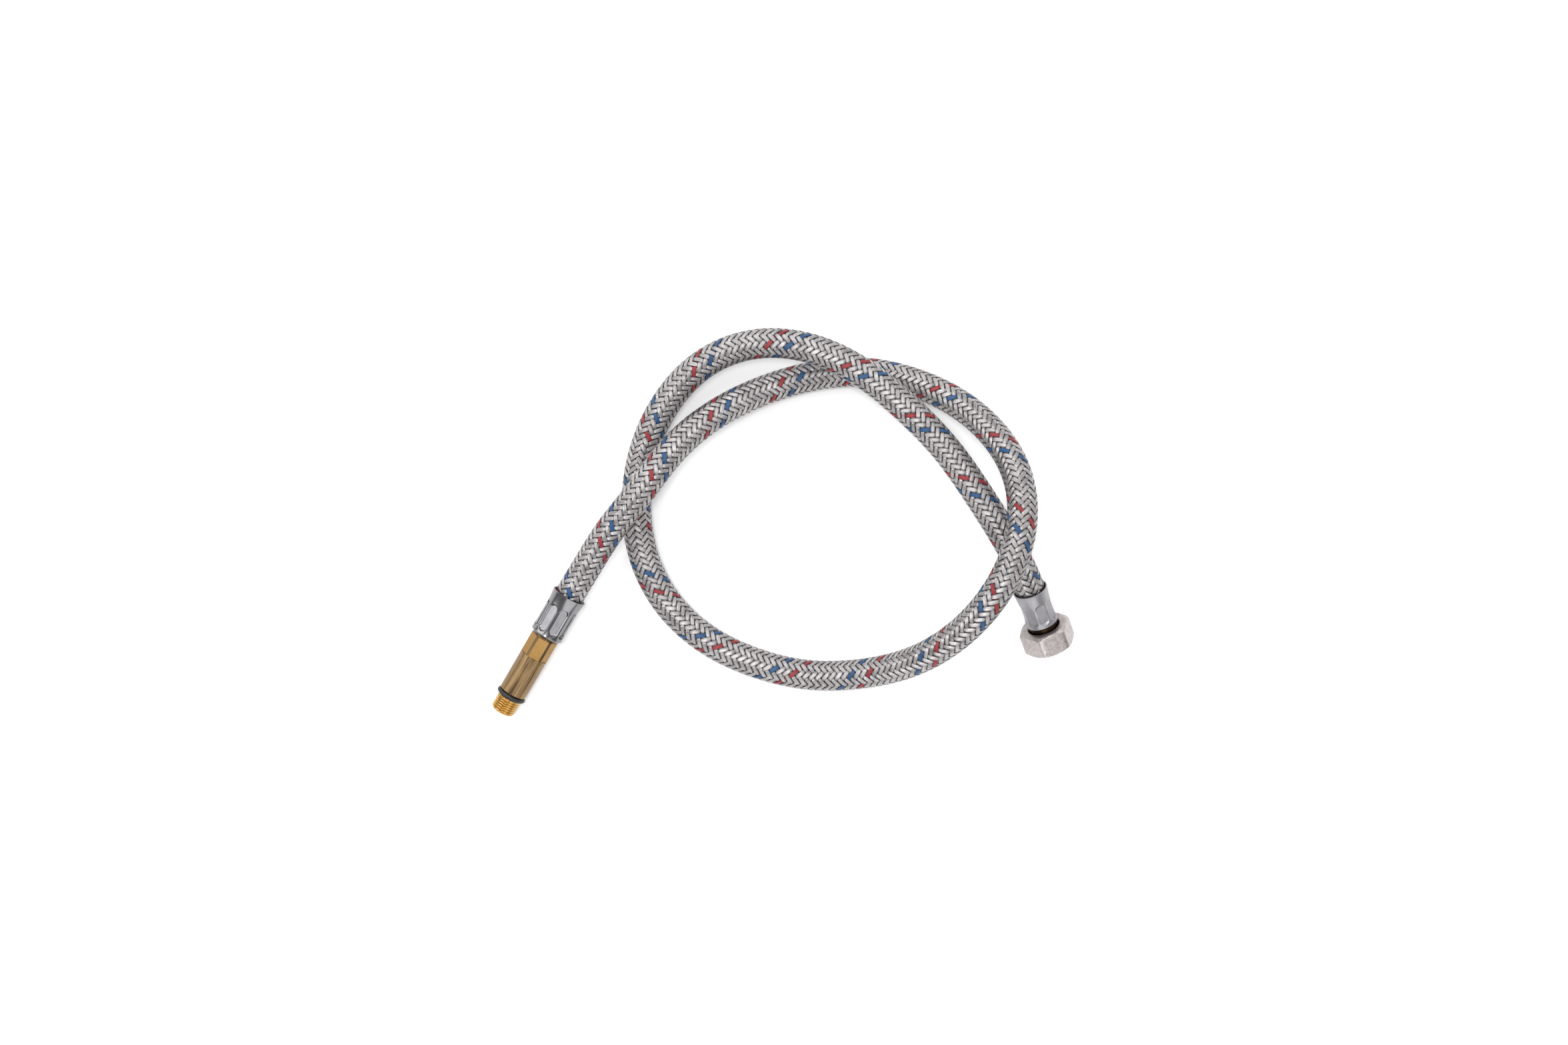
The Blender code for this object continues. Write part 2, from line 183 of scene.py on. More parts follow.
class Finish(Graph):
    """A material with one Principled shader, whose sockets take numbers or signals."""

    def __init__(self, name):
        self.material = bpy.data.materials.new(name)
        self.material.use_nodes = True
        super().__init__(self.material.node_tree)
        self.shader = self.tree.nodes["Principled BSDF"]

    def place(self):
        """The point's own place, which is the Object output."""
        return self.add("ShaderNodeTexCoord", {}, {}, 3)

    def attribute(self, name):
        return self.add("ShaderNodeAttribute", {"attribute_name": name}, {}, 2)

    def station(self):
        """The point's place on its fitting: two ways across the axis, then along it."""
        return self.add("ShaderNodeAttribute", {"attribute_name": "station"}, {}, 1)

    def surface(self, **sockets):
        for key, value in sockets.items():
            socket = self.shader.inputs[key.replace("_", " ")]
            if isinstance(value, Signal):
                self.tree.links.new(value.socket, socket)
            else:
                socket.default_value = (*value, 1.0) if isinstance(value, tuple) else value
        return self.material


# ---------------------------------------------------------------- materials

def band_finish(name, colour, shade, metallic, roughness):
    """Flat band of fine wires side by side, with grooves between them, and painted shade in the grooves, at
    its edges and where it dips under.
    """
    m = Finish(name)
    across = m.attribute("across")
    along = m.attribute("along")
    wire = ((across + 1.0) * (math.pi / 2 * WIRES_PER_BAND)).maths("SINE").maths("ABSOLUTE")
    groove = m.ramp(wire, 0.0, 0.5)
    streak = m.noise(m.add("ShaderNodeCombineXYZ", {}, {0: along * 130.0, 1: across * 3.5}), 2.0)
    patch = m.grain(m.place(), (300.0, 300.0, 300.0), 2.0)
    tone = streak * 0.6 + patch * 0.4
    # painted shade: darker towards the band's edges, where it meets its neighbours
    edge = m.ramp(across.maths("ABSOLUTE"), 0.74, 0.96)
    light = m.mix(m.ramp(tone, 0.40, 0.60), shade, colour)
    # painted shade in the wire grooves, at the edges and where the band dips under the crossing bands,
    # mixed towards this near-black colour
    gap = tuple(0.08 * c for c in shade)
    dip_shade = m.ramp(m.attribute("layer"), -0.97, -0.62) * 0.55 + 0.45
    painted_shade_colour = m.mix((groove * 0.55 + 0.45 - edge * 0.65) * dip_shade, gap, light)
    return m.surface(
        Base_Color=painted_shade_colour, Metallic=metallic, Roughness=m.ramp(tone, 0.3, 0.7) * 0.12 + roughness,
        Normal=m.bump(wire + tone * 0.3, 0.00007, 0.8),
    )


def rubber_finish(name, level, roughness):
    """Dark rubber or fibre of one grey level, with fine mottling."""
    m = Finish(name)
    spot = m.noise(m.place(), 900.0, 4.0)
    base = m.mix(spot, (level * 0.7,) * 3, (level * 1.5,) * 3)
    return m.surface(
        Base_Color=base, Roughness=m.ramp(spot, 0.2, 0.8) * 0.15 + roughness,
        Normal=m.bump(spot, 0.00003, 0.3),
    )


def pressed_steel_finish(name, colour, shade, roughness):
    """Stainless sleeve: faint streaks along it, clouded, with small dull scuffs."""
    m = Finish(name)
    shape = m.station()
    dulled = (0.16, 0.16, 0.165)
    streak = m.grain(shape, (900.0, 900.0, 60.0), 4.0, 0.6)
    cloud = m.grain(shape, (160.0, 160.0, 120.0), 3.0)
    scuff = m.ramp(m.grain(shape, (300.0, 300.0, 1500.0), 5.0, 0.7), 0.62, 0.75)
    base = m.mix(m.ramp(cloud, 0.3, 0.7), shade, colour)
    base = m.mix(scuff * 0.4, base, dulled)
    return m.surface(
        Base_Color=base, Metallic=1.0, Roughness=m.ramp(streak, 0.3, 0.7) * 0.10 + roughness + scuff * 0.15,
        Normal=m.bump(streak, 0.00002, 0.45),
    )


def drawn_brass_finish(name, level):
    """Round bar skin: brass darkened to a level, with streaks along the bar."""
    m = Finish(name)
    shape = m.station()
    streak = m.grain(shape, (2600.0, 2600.0, 50.0), 5.0, 0.65)
    cloud = m.grain(shape, (220.0, 220.0, 70.0), 3.0)
    dull, bright, rubbed = (
        tuple(level * c for c in colour)
        for colour in ((0.075, 0.046, 0.026), (0.335, 0.222, 0.115), (0.45, 0.30, 0.125))
    )
    base = m.mix(m.ramp(streak, 0.36, 0.64), dull, bright)
    base = m.mix(m.ramp(cloud, 0.45, 0.75) * 0.30, base, rubbed)
    return m.surface(
        Base_Color=base, Metallic=1.0, Roughness=m.ramp(streak, 0.3, 0.7) * 0.12 + 0.27,
        Normal=m.bump(streak, 0.00003, 0.4),
    )


def milled_brass_finish():
    """Milled flats and turned steps: pale matt brass with a fine sandy grain."""
    m = Finish("milled_brass")
    shape = m.station()
    grain = m.grain(shape, (4000.0, 4000.0, 4000.0), 4.0, 0.7)
    cloud = m.grain(shape, (260.0, 260.0, 260.0), 3.0)
    shade, colour = (0.27, 0.155, 0.050), (0.39, 0.236, 0.086)
    base = m.mix(cloud, shade, colour)
    return m.surface(
        Base_Color=base, Metallic=1.0, Roughness=m.ramp(grain, 0.3, 0.7) * 0.14 + 0.40,
        Normal=m.bump(grain, 0.00004, 0.7),
    )


def cut_thread_finish():
    """Freshly cut thread: bright gold brass with tool lines round it."""
    m = Finish("cut_thread")
    shape = m.station()
    lines = m.grain(shape, (120.0, 120.0, 9000.0), 3.0, 0.6)
    shade, colour = (0.48, 0.30, 0.095), (0.66, 0.44, 0.17)
    base = m.mix(lines, shade, colour)
    return m.surface(
        Base_Color=base, Metallic=1.0, Roughness=lines * 0.12 + 0.22, Normal=m.bump(lines, 0.00001, 0.4),
    )


def nickel_finish():
    """Cast-looking nickel plate on the nut: warm grey and clouded, with small dark pits."""
    m = Finish("nickel_plate")
    shape = m.station()
    skin = m.grain(shape, (900.0, 900.0, 900.0), 6.0, 0.65)
    pits = m.ramp(m.grain(shape, (1700.0, 1700.0, 1700.0), 4.0, 0.65), 0.56, 0.70)
    cloud = m.grain(shape, (650.0, 650.0, 650.0), 5.0, 0.65)
    shade, colour, pitted = (0.33, 0.297, 0.288), (0.53, 0.488, 0.478), (0.15, 0.12, 0.10)
    base = m.mix(m.ramp(cloud, 0.3, 0.7), shade, colour)
    base = m.mix(pits * 0.6, base, pitted)
    return m.surface(
        Base_Color=base, Metallic=1.0, Roughness=m.ramp(skin, 0.3, 0.7) * 0.16 + 0.28,
        Normal=m.bump(skin - pits * 0.5, 0.00011, 0.7),
    )


STEEL_BAND = band_finish("steel_band", (0.55, 0.526, 0.527), (0.27, 0.254, 0.257), 1.0, 0.31)
RED_BAND = band_finish("red_band", (0.29, 0.022, 0.028), (0.18, 0.011, 0.015), 0.1, 0.36)
BLUE_BAND = band_finish("blue_band", (0.012, 0.080, 0.215), (0.006, 0.044, 0.12), 0.1, 0.36)
LINER_RUBBER = rubber_finish("liner_rubber", 0.012, 0.55)
RING_RUBBER = rubber_finish("ring_rubber", 0.007, 0.42)
SEAL_FIBRE = rubber_finish("seal_fibre", 0.03, 0.75)
POLISHED_SLEEVE = pressed_steel_finish(
    "polished_sleeve", (0.235, 0.232, 0.242), (0.175, 0.172, 0.180), 0.15,
)
SATIN_SLEEVE = pressed_steel_finish("satin_sleeve", (0.37, 0.362, 0.38), (0.27, 0.264, 0.278), 0.40)
DRAWN_BRASS = drawn_brass_finish("drawn_brass", 1.0)
# darker brass: painted shade on the neck under the male ferrule's foot, and a darker skin on the round
# strips between the flats
DARKENED_BRASS = drawn_brass_finish("darkened_brass", 0.55)
# near-black brass for the insert: painted shade in the gap between the ferrule and the nut
SHADED_BRASS = drawn_brass_finish("painted_shade_brass", 0.16)
MILLED_BRASS = milled_brass_finish()
CUT_THREAD = cut_thread_finish()
NICKEL = nickel_finish()


# ---------------------------------------------------------------- places

def direction(heading, dip):
    """Unit vector at a heading seen from above, sloping down by the dip."""
    flat = math.cos(dip)
    return Vector((math.cos(heading) * flat, math.sin(heading) * flat, -math.sin(dip)))


class Fitting:
    """Axes of a fitting: origin at its ferrule's mouth, outward axis, upper side, other side."""

    def __init__(self, knot, heading, dip):
        x, y, height = knot
        self.mouth = np.array((x, y, height * 2 * HOSE_RADIUS))
        self.outward = np.array(direction(heading, dip))
        self.upper = np.array(direction(heading, dip - math.pi / 2))
        self.side = np.cross(self.outward, self.upper)

    def along(self, z):
        return self.mouth + self.outward * z


MALE = Fitting(ROUTE[0], MALE_HEADING, MALE_DIP)
NUT = Fitting(ROUTE[-1], NUT_HEADING, NUT_DIP)


def smooth_route(points, start_direction, end_direction, step):
    """Points a step apart on the cubic spline through the route, with its end directions set."""
    knots = np.array(points)
    spans = np.linalg.norm(np.diff(knots, axis=0), axis=1)
    slopes = np.diff(knots, axis=0) / spans[:, None]
    count = len(knots)
    system = np.eye(count)
    target = np.zeros((count, 3))
    target[0] = start_direction
    target[-1] = end_direction
    for i in range(1, count - 1):
        before, after = spans[i - 1], spans[i]
        system[i, i - 1:i + 2] = (after, 2 * (before + after), before)
        target[i] = 3 * (after * slopes[i - 1] + before * slopes[i])
    tangents = np.linalg.solve(system, target)
    fine = []
    for i, span in enumerate(spans):
        for t in np.linspace(0, 1, SPLINE_STEPS, endpoint=False):
            fine.append(
                knots[i] * (1 + 2 * t) * (1 - t) ** 2 + tangents[i] * span * t * (1 - t) ** 2
                + knots[i + 1] * t * t * (3 - 2 * t) + tangents[i + 1] * span * t * t * (t - 1)
            )
    fine.append(knots[-1])
    fine = np.array(fine)
    travelled = np.concatenate([[0], np.cumsum(np.linalg.norm(np.diff(fine, axis=0), axis=1))])
    stops = np.linspace(0, travelled[-1], round(travelled[-1] / step) + 1)
    return np.column_stack([np.interp(stops, travelled, fine[:, k]) for k in range(3)])


def hose_line():
    """The hose's middle line from its end in the male ferrule to its end in the nut ferrule."""
    step = LINE_STEP
    points = [(x, y, height * 2 * HOSE_RADIUS) for x, y, height in ROUTE]
    free = smooth_route(points, -MALE.outward, NUT.outward, step)
    head = [MALE.along(z) for z in np.arange(HOSE_TUCK, step / 2, -step)]
    tail = [NUT.along(z) for z in np.arange(step, NUT_TUCK + step / 2, step)]
    return np.array([*head, *free, *tail])


def line_length(points):
    return float(np.linalg.norm(np.diff(points, axis=0), axis=1).sum())


LINE = hose_line()
LENGTH = line_length(LINE)


# ---------------------------------------------------------------- meshes

def new_piece(name, mesh, body, node):
    """A finished piece: its object, the body it rides on, and the node it replaces."""
    obj = bpy.data.objects.new(name, mesh)
    bpy.context.collection.objects.link(obj)
    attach(obj, body)
    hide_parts(node)
    return obj


def closed_rings(name, rings, stations, finishes, finish_of_face=None, sharp=35.0):
    """A ring-shaped solid from rows of points: each row joins the next, and the last the first."""
    rows, around = rings.shape[:2]
    index = np.arange(rows * around).reshape(rows, around)
    below = np.roll(index, -1, axis=0)
    quads = np.stack([index, np.roll(index, -1, 1), np.roll(below, -1, 1), below], axis=-1)
    mesh = bpy.data.meshes.new(name)
    mesh.from_pydata(rings.reshape(-1, 3).tolist(), [], quads.reshape(-1, 4).tolist())
    for finish in finishes:
        mesh.materials.append(finish)
    if finish_of_face is not None:
        mesh.polygons.foreach_set("material_index", finish_of_face.reshape(-1).astype(np.int32))
    station = mesh.attributes.new("station", "FLOAT_VECTOR", "POINT")
    station.data.foreach_set("vector", stations.reshape(-1).astype(np.float32))
    mesh.shade_smooth()
    mesh.set_sharp_from_angle(angle=math.radians(sharp))
    mesh.validate()
    return mesh


def turned(name, fitting, rows, segments, finishes, finish_of_face=None, turn=0.0, sharp=35.0):
    """A solid about a fitting's axis. Each row is (radius or function of the angles, height)."""
    angles = np.linspace(0, math.tau, segments, endpoint=False)
    local = np.empty((len(rows), segments, 3))
    for row, (radius, z) in enumerate(rows):
        reach = radius(angles) if callable(radius) else np.full(segments, radius)
        local[row, :, 0] = reach * np.cos(angles)
        local[row, :, 1] = reach * np.sin(angles)
        local[row, :, 2] = z
    heights = local[:, 0, 2]
    radii = np.hypot(local[:, 0, 0], local[:, 0, 1])
    area = np.sum(radii * np.roll(heights, -1) - np.roll(radii, -1) * heights)
    if area < 0:
        local = local[::-1].copy()
        if finish_of_face is not None:
            finish_of_face = np.roll(finish_of_face[::-1], -1, axis=0)
    spin = angles + turn
    reach = np.hypot(local[..., 0], local[..., 1])[..., None]
    radial = np.cos(spin)[:, None] * fitting.upper + np.sin(spin)[:, None] * fitting.side
    world = fitting.mouth + local[..., 2:] * fitting.outward + reach * radial
    return closed_rings(name, world, local, finishes, finish_of_face, sharp)


def rounded(points, radius):
    """A profile with its corners rounded: each corner becomes a short curve of the given size."""
    curve_points = 4
    longest_cut = 0.4  # share of an edge that a corner may take
    path = []
    count = len(points)
    for i in range(count):
        corner = np.array(points[i])
        before = np.array(points[i - 1]) - corner
        after = np.array(points[(i + 1) % count]) - corner
        cut_before = min(radius, longest_cut * np.linalg.norm(before))
        cut_after = min(radius, longest_cut * np.linalg.norm(after))
        start = corner + before / np.linalg.norm(before) * cut_before
        end = corner + after / np.linalg.norm(after) * cut_after
        for t in np.linspace(0, 1, curve_points):
            path.append(tuple((1 - t) ** 2 * start + 2 * t * (1 - t) * corner + t * t * end))
    return path


# ---------------------------------------------------------------- hose

def weave_tree():
    """Bands of wire woven round a line: each band is a flat tube that follows a helix."""
    tree = bpy.data.node_groups.new("woven_bands", "GeometryNodeTree")
    ports = {}
    for name, kind in (
        ("Line", "Geometry"), ("Bands", "Int"), ("First Band", "Int"), ("Hand", "Float"),
        ("Carriers", "Int"), ("Lead", "Float"), ("Hose Radius", "Float"), ("Pressed Radius", "Float"),
        ("Pressed Start", "Float"), ("Pressed End", "Float"), ("Band Width", "Float"),
        ("Band Thickness", "Float"), ("Band Lift", "Float"), ("Phase", "Float"), ("Shift", "Float"),
        ("Waist", "Float"), ("Sides", "Int"), ("Steps", "Int"), ("Length", "Float"), ("Finish", "Material"),
    ):
        ports[name] = tree.interface.new_socket(name, in_out="INPUT", socket_type="NodeSocket" + kind)
    tree.interface.new_socket("Weave", in_out="OUTPUT", socket_type="NodeSocketGeometry")
    g = Graph(tree)
    given = g.add("NodeGroupInput")

    def value(name):
        return given.output(name)

    route = g.add("GeometryNodeMeshToCurve", {}, {"Mesh": value("Line")})
    blank = g.add("GeometryNodeMeshCylinder", {"fill_type": "NGON"}, {
        "Vertices": value("Sides"), "Side Segments": value("Steps"), "Radius": 1.0, "Depth": 1.0})
    origins = g.add("GeometryNodePoints", {}, {"Count": value("Bands")})
    copies = g.add("GeometryNodeInstanceOnPoints", {}, {"Points": origins, "Instance": blank})
    number = g.add("GeometryNodeInputIndex")
    marked = g.add("GeometryNodeStoreNamedAttribute", {"data_type": "FLOAT", "domain": "INSTANCE"},
                   {"Geometry": copies, "Name": "band", "Value": number})
    bands = g.add("GeometryNodeRealizeInstances", {}, {"Geometry": marked})

    spot = g.add("ShaderNodeSeparateXYZ", {}, {0: g.add("GeometryNodeInputPosition")})
    x, y, z = spot.output("X"), spot.output("Y"), spot.output("Z")
    band = g.add("GeometryNodeInputNamedAttribute", {"data_type": "FLOAT"}, {"Name": "band"})
    across = x.maths("SIGN") * x.maths("ABSOLUTE").maths("POWER", WIDTH_POWER)
    crown = y.maths("SIGN") * y.maths("ABSOLUTE").maths("POWER", CROWN_POWER)

    # Helix of the band's middle, and the sideways step of this point from it
    turn = value("Hand") * math.tau / value("Lead")
    pitch_angle = (value("Hose Radius") * math.tau / value("Lead")).maths("ARCTANGENT")
    middle = (z + 0.5) * value("Length")
    own = (band + value("First Band")) * math.tau / value("Carriers")
    rise = ((own + turn * (middle - value("Shift"))) * (2 * REPEATS) - WEAVE_OFFSET).maths("COSINE")
    waist = 1.0 - (1.0 - rise * rise) * value("Waist")
    sideways = across * waist * value("Band Width") * 0.5
    travelled = middle - sideways * pitch_angle.maths("SINE") * value("Hand")
    travelled = travelled.maths("MAXIMUM", 0.0).maths("MINIMUM", value("Length"))
    drift = sideways * pitch_angle.maths("COSINE") / value("Hose Radius")
    angle = own + turn * (middle - value("Shift")) + drift

    # Over two and under two: the crossing bands' own number sets which layer is on top
    crossing = angle + turn * (travelled - value("Shift"))
    beat = ((own + crossing) * REPEATS - WEAVE_OFFSET).maths("COSINE")
    layer = beat / (beat * beat + CHANGEOVER).maths("SQRT") * value("Hand")

    # The hose narrows inside both ferrules
    start, end = value("Pressed Start"), value("Pressed End")
    free_start = g.ramp(travelled, start - NARROW_INSIDE, start + NARROW_OUTSIDE)
    free_end = g.ramp(travelled, end + NARROW_INSIDE, end - NARROW_OUTSIDE)
    free = free_start * free_end
    girth = value("Pressed Radius") + (value("Hose Radius") - value("Pressed Radius")) * free
    skin = girth - value("Band Thickness") * 0.5 - value("Band Lift")
    reach = skin + layer * value("Band Lift") + crown * value("Band Thickness") * 0.5
    reach = reach + (1.0 - across * across) * value("Band Thickness") * BAND_BULGE * crown.maths("SIGN")

    here = g.add("GeometryNodeSampleCurve", {"mode": "LENGTH"}, {"Curves": route, "Length": travelled})
    tangent, normal = here.output("Tangent"), here.output("Normal")
    other = g.add("ShaderNodeVectorMath", {"operation": "CROSS_PRODUCT"}, {0: tangent, 1: normal})
    spun = angle + value("Phase")

    def scaled(vector, amount):
        return g.add("ShaderNodeVectorMath", {"operation": "SCALE"}, {0: vector, "Scale": amount})

    def total(first, second):
        return g.add("ShaderNodeVectorMath", {"operation": "ADD"}, {0: first, 1: second})

    radial = total(scaled(normal, spun.maths("COSINE")), scaled(other, spun.maths("SINE")))
    placed = total(here.output("Position"), scaled(radial, reach))

    # The band finishes read these
    kept = bands
    for label, amount in (("across", across), ("along", travelled), ("layer", layer)):
        kept = g.add("GeometryNodeStoreNamedAttribute", {"data_type": "FLOAT", "domain": "POINT"},
                     {"Geometry": kept, "Name": label, "Value": amount})
    moved = g.add("GeometryNodeSetPosition", {}, {"Geometry": kept, "Position": placed})
    smooth = g.add("GeometryNodeSetShadeSmooth", {}, {"Geometry": moved})
    solid = g.add("GeometryNodeRealizeInstances", {}, {"Geometry": smooth})
    dressed = g.add("GeometryNodeSetMaterial", {}, {"Geometry": solid, "Material": value("Finish")})
    g.add("NodeGroupOutput", {}, {"Weave": dressed})
    return tree, {name: port.identifier for name, port in ports.items() if name != "Line"}


def woven(name, tree, ports, hand, first, bands, finish):
    """One woven piece: some bands of one hand, made by the tree and kept as a plain mesh."""
    host_mesh = bpy.data.meshes.new(name + "_line")
    host_mesh.from_pydata(LINE.tolist(), [(i, i + 1) for i in range(len(LINE) - 1)], [])
    host = bpy.data.objects.new(name + "_line", host_mesh)
    bpy.context.collection.objects.link(host)
    weave = host.modifiers.new("weave", "NODES")
    weave.node_group = tree
    strand = LENGTH * math.hypot(1, math.tau * HOSE_RADIUS / LEAD)
    phase, shift = weave_start()
    given = {
        "Bands": bands, "First Band": first, "Hand": float(hand), "Carriers": CARRIERS, "Lead": LEAD,
        "Hose Radius": HOSE_RADIUS, "Pressed Radius": PRESSED_RADIUS, "Pressed Start": HOSE_TUCK,
        "Pressed End": LENGTH - NUT_TUCK, "Band Width": BAND_WIDTH, "Band Thickness": BAND_THICKNESS,
        "Band Lift": BAND_LIFT, "Phase": phase, "Shift": shift, "Waist": BAND_WAIST,
        "Sides": BAND_SIDES, "Steps": round(strand / BAND_STEP), "Length": LENGTH, "Finish": finish,
    }
    for key, amount in given.items():
        weave[ports[key]] = amount
    graph = bpy.context.evaluated_depsgraph_get()
    mesh = bpy.data.meshes.new_from_object(host.evaluated_get(graph))
    bpy.data.objects.remove(host)
    mesh.name = name
    return new_piece(name, mesh, "line", "hose_braid")


def cross_frames(points):
    """Two side directions at each point of a line, carried along it without twist."""
    tangents = np.gradient(points, axis=0)
    tangents /= np.linalg.norm(tangents, axis=1)[:, None]
    side = np.cross(tangents[0], (0, 0, 1.0))
    sides = []
    for tangent in tangents:
        side = side - tangent * np.dot(side, tangent)
        side = side / np.linalg.norm(side)
        sides.append(side)
    sides = np.array(sides)
    return sides, np.cross(tangents, sides)


def weave_start():
    """The weave's turn and shift that put the red tracer on the upper side at its first crossing."""
    place = HOSE_TUCK + TRACER_START
    first, second = cross_frames(LINE)
    at = round(place / LENGTH * (len(LINE) - 1))
    upper = math.atan2(second[at][2], first[at][2])
    return upper - COLUMN_ANGLE, place + COLUMN_ANGLE / math.tau * LEAD


def hose_liner():
    """Rubber inner tube under the weave, open right through."""
    segments = 36
    taper = 0.002  # length over which it narrows, just inside each ferrule
    grip = 0.00002  # how far it stands into the weave
    points = LINE[::2] if len(LINE) % 2 else np.vstack([LINE[:-1:2], LINE[-1:]])
    first, second = cross_frames(points)
    travelled = np.concatenate([[0], np.cumsum(np.linalg.norm(np.diff(points, axis=0), axis=1))])
    inside = np.clip(np.minimum(travelled - HOSE_TUCK, LENGTH - NUT_TUCK - travelled) / taper, -1, 0)
    outer = HOSE_RADIUS - BAND_THICKNESS - 2 * BAND_LIFT + grip + inside * (HOSE_RADIUS - PRESSED_RADIUS)
    angles = np.linspace(0, math.tau, segments, endpoint=False)
    ring = first[:, None] * np.cos(angles)[:, None] + second[:, None] * np.sin(angles)[:, None]
    shell = points[:, None] + ring * outer[:, None, None]
    bore = points[:, None] + ring * (outer - LINER_WALL)[:, None, None]
    rings = np.concatenate([shell, bore[::-1]])
    mesh = closed_rings("hose_inner_tube", rings[::-1], rings[::-1], [LINER_RUBBER], sharp=60.0)
    return new_piece("hose_inner_tube", mesh, "line", "hose_liner")


def runs(first, end):
    """The bands from first up to end in small groups, each as its first band and its count."""
    return [(start, min(BANDS_PER_PIECE, end - start)) for start in range(first, end, BANDS_PER_PIECE)]


def make_hose():
    """The inner tube, the two tracers and the steel bands, which together are one cord."""
    tree, ports = weave_tree()
    tube = hose_liner()
    blue = TRACER_GAP
    woven_pieces = [
        woven("tracer_red", tree, ports, -1, 0, 1, RED_BAND),
        woven("tracer_blue", tree, ports, -1, blue, 1, BLUE_BAND),
    ]
    left_runs = runs(1, blue) + runs(blue + 1, CARRIERS)
    for side, hand, groups in (("left", -1, left_runs), ("right", 1, runs(0, CARRIERS))):
        for number, (first, bands) in enumerate(groups, 1):
            name = f"bands_{side}_{number}"
            woven_pieces.append(woven(name, tree, ports, hand, first, bands, STEEL_BAND))


# ---------------------------------------------------------------- ferrules

FERRULE_WALL = 0.0005
FERRULE_ROWS, FERRULE_SEGMENTS = 130, 300
MOUTH_POWER, FOOT_POWER = 1.7, 1.8  # the higher, the more a flare keeps to its rim
FOOT_ROUNDING = 0.0010
RIM = 0.0001  # size of the sleeve's broken edges
BORE_EASE = 0.0001  # by which the sleeve's bore is wider than the hose
CRIMP_COUNT = 8
POCKET_START, POCKET_END = 0.0050, 0.0017  # from the mouth and from the foot
POCKET_FLATNESS = 0.9  # 1 gives a flat floor, 0 one as round as the sleeve
NECK_RADIUS = 0.0041
CLEARANCE = 0.0003


def ferrule(name, fitting, length, girths, flares, pocket, crimp_turn, finish, node):
    """Thin sleeve, flared at mouth and foot, with pressed pockets and an inturned lip.

    girths: outer radii at the mouth, the waist and the foot. flares: lengths of both flares.
    pocket: its depth, half its width, and the width of its sloping edge.
    """
    pitch = math.tau / CRIMP_COUNT
    mouth_girth, waist, foot_girth = girths
    mouth_flare, foot_flare = flares
    depth, half_width, slope = pocket
    round_start = length - FOOT_ROUNDING

    def base(z):
        mouth = max(0.0, 1 - z / mouth_flare)
        foot = max(0.0, 1 - (length - z) / foot_flare)
        swelling = (foot_girth - waist) * foot ** FOOT_POWER
        return waist + (mouth_girth - waist) * mouth ** MOUTH_POWER + swelling

    def wall(z):
        """Outer radii at one height: pockets with round ends and a flat floor."""
        def radius(angles):
            off = (angles + pitch / 2) % pitch - pitch / 2
            from_core = z - min(max(z, POCKET_START + half_width), length - POCKET_END - half_width)
            reach = np.hypot(off * waist, from_core)
            inside = np.clip((half_width - reach) / slope, 0, 1)
            floor = (waist - depth) / np.cos(off) ** POCKET_FLATNESS
            outside = base(z)
            return outside + (np.minimum(floor, outside) - outside) * inside ** 2 * (3 - 2 * inside)
        return radius

    foot = base(length) - FOOT_ROUNDING
    lip = NECK_RADIUS + CLEARANCE
    pressed = PRESSED_RADIUS + BORE_EASE
    rows = [(base(0) - RIM, 0.0), (base(0), RIM)]
    rows += [(wall(z), z) for z in np.linspace(2 * RIM, round_start, FERRULE_ROWS)]
    for turn in np.linspace(0, math.pi / 2, 9)[1:]:
        rows.append((foot + FOOT_ROUNDING * math.cos(turn), round_start + FOOT_ROUNDING * math.sin(turn)))
    rows += [(lip + RIM, length), (lip, length - RIM), (lip, length - FERRULE_WALL)]
    rows += [(pressed, length - FERRULE_WALL), (pressed, POCKET_START)]

    # The bore opens towards the mouth
    for z in np.linspace(POCKET_START * 0.8, RIM, 8):
        share = (z / POCKET_START) ** 2
        rows.append((pressed * share + (base(z) - FERRULE_WALL) * (1 - share), z))
    rows.append((base(0) - FERRULE_WALL + RIM, 0.0))
    mesh = turned(name, fitting, rows, FERRULE_SEGMENTS, [finish], turn=crimp_turn, sharp=50.0)
    return new_piece(name, mesh, "line", node)


# ---------------------------------------------------------------- male tail

# Shank and collar inside the hose, on both tails; only the male one has barbs
SHANK_START = 0.0025
SHANK_RADIUS = 0.0031
BARB_HEIGHT = 0.00035
BARB_PITCH = 0.0033
BARB_REACH = 0.8  # share of the pitch at which a barb is widest
BARB_RUNOUT = 0.0010  # plain length before the collar
COLLAR_RADIUS = 0.0048
COLLAR_LENGTH = 0.0013

HEX_FLATS = 0.00518
HEX_NECK, HEX_NECK_RADIUS = 0.0008, 0.0053  # turned neck between the ferrule and the flats, in darker brass as painted shade under the ferrule's foot
TAIL_RADIUS = 0.00565
HEX_LENGTH = 0.0097
TAIL_LENGTH = 0.0174
M10_MAJOR, M10_PITCH, M10_DEPTH = 0.00492, 0.0010, 0.0006
M10_LENGTH, M10_CHAMFER = 0.0067, 0.0009
M10_FADE = 0.0004
RING_SECTION = 0.0009
GROOVE_RADIUS = 0.0040
GROOVE_FOOT, GROOVE_TOP = 0.0003, 0.0001  # ends of the groove's front wall, back from the thread
SHOULDER_CHAMFER = 0.0002
BORE_RADIUS = 0.0023
BORE_CHAMFER = 0.0005
MALE_TURN = math.radians(-8)  # of the flats about the axis
FLAT_STEP = 0.00004  # length of the step from the flats up to the round tail
FLAT_ROWS, TAIL_ROWS, TAIL_SEGMENTS = 14, 24, 180
PLAIN_SEGMENTS = 120  # round pieces with no pattern round them
RIDGE_SLOPE = 2.7  # of a thread's flanks: depths in a pitch
ROWS_PER_TURN = 12


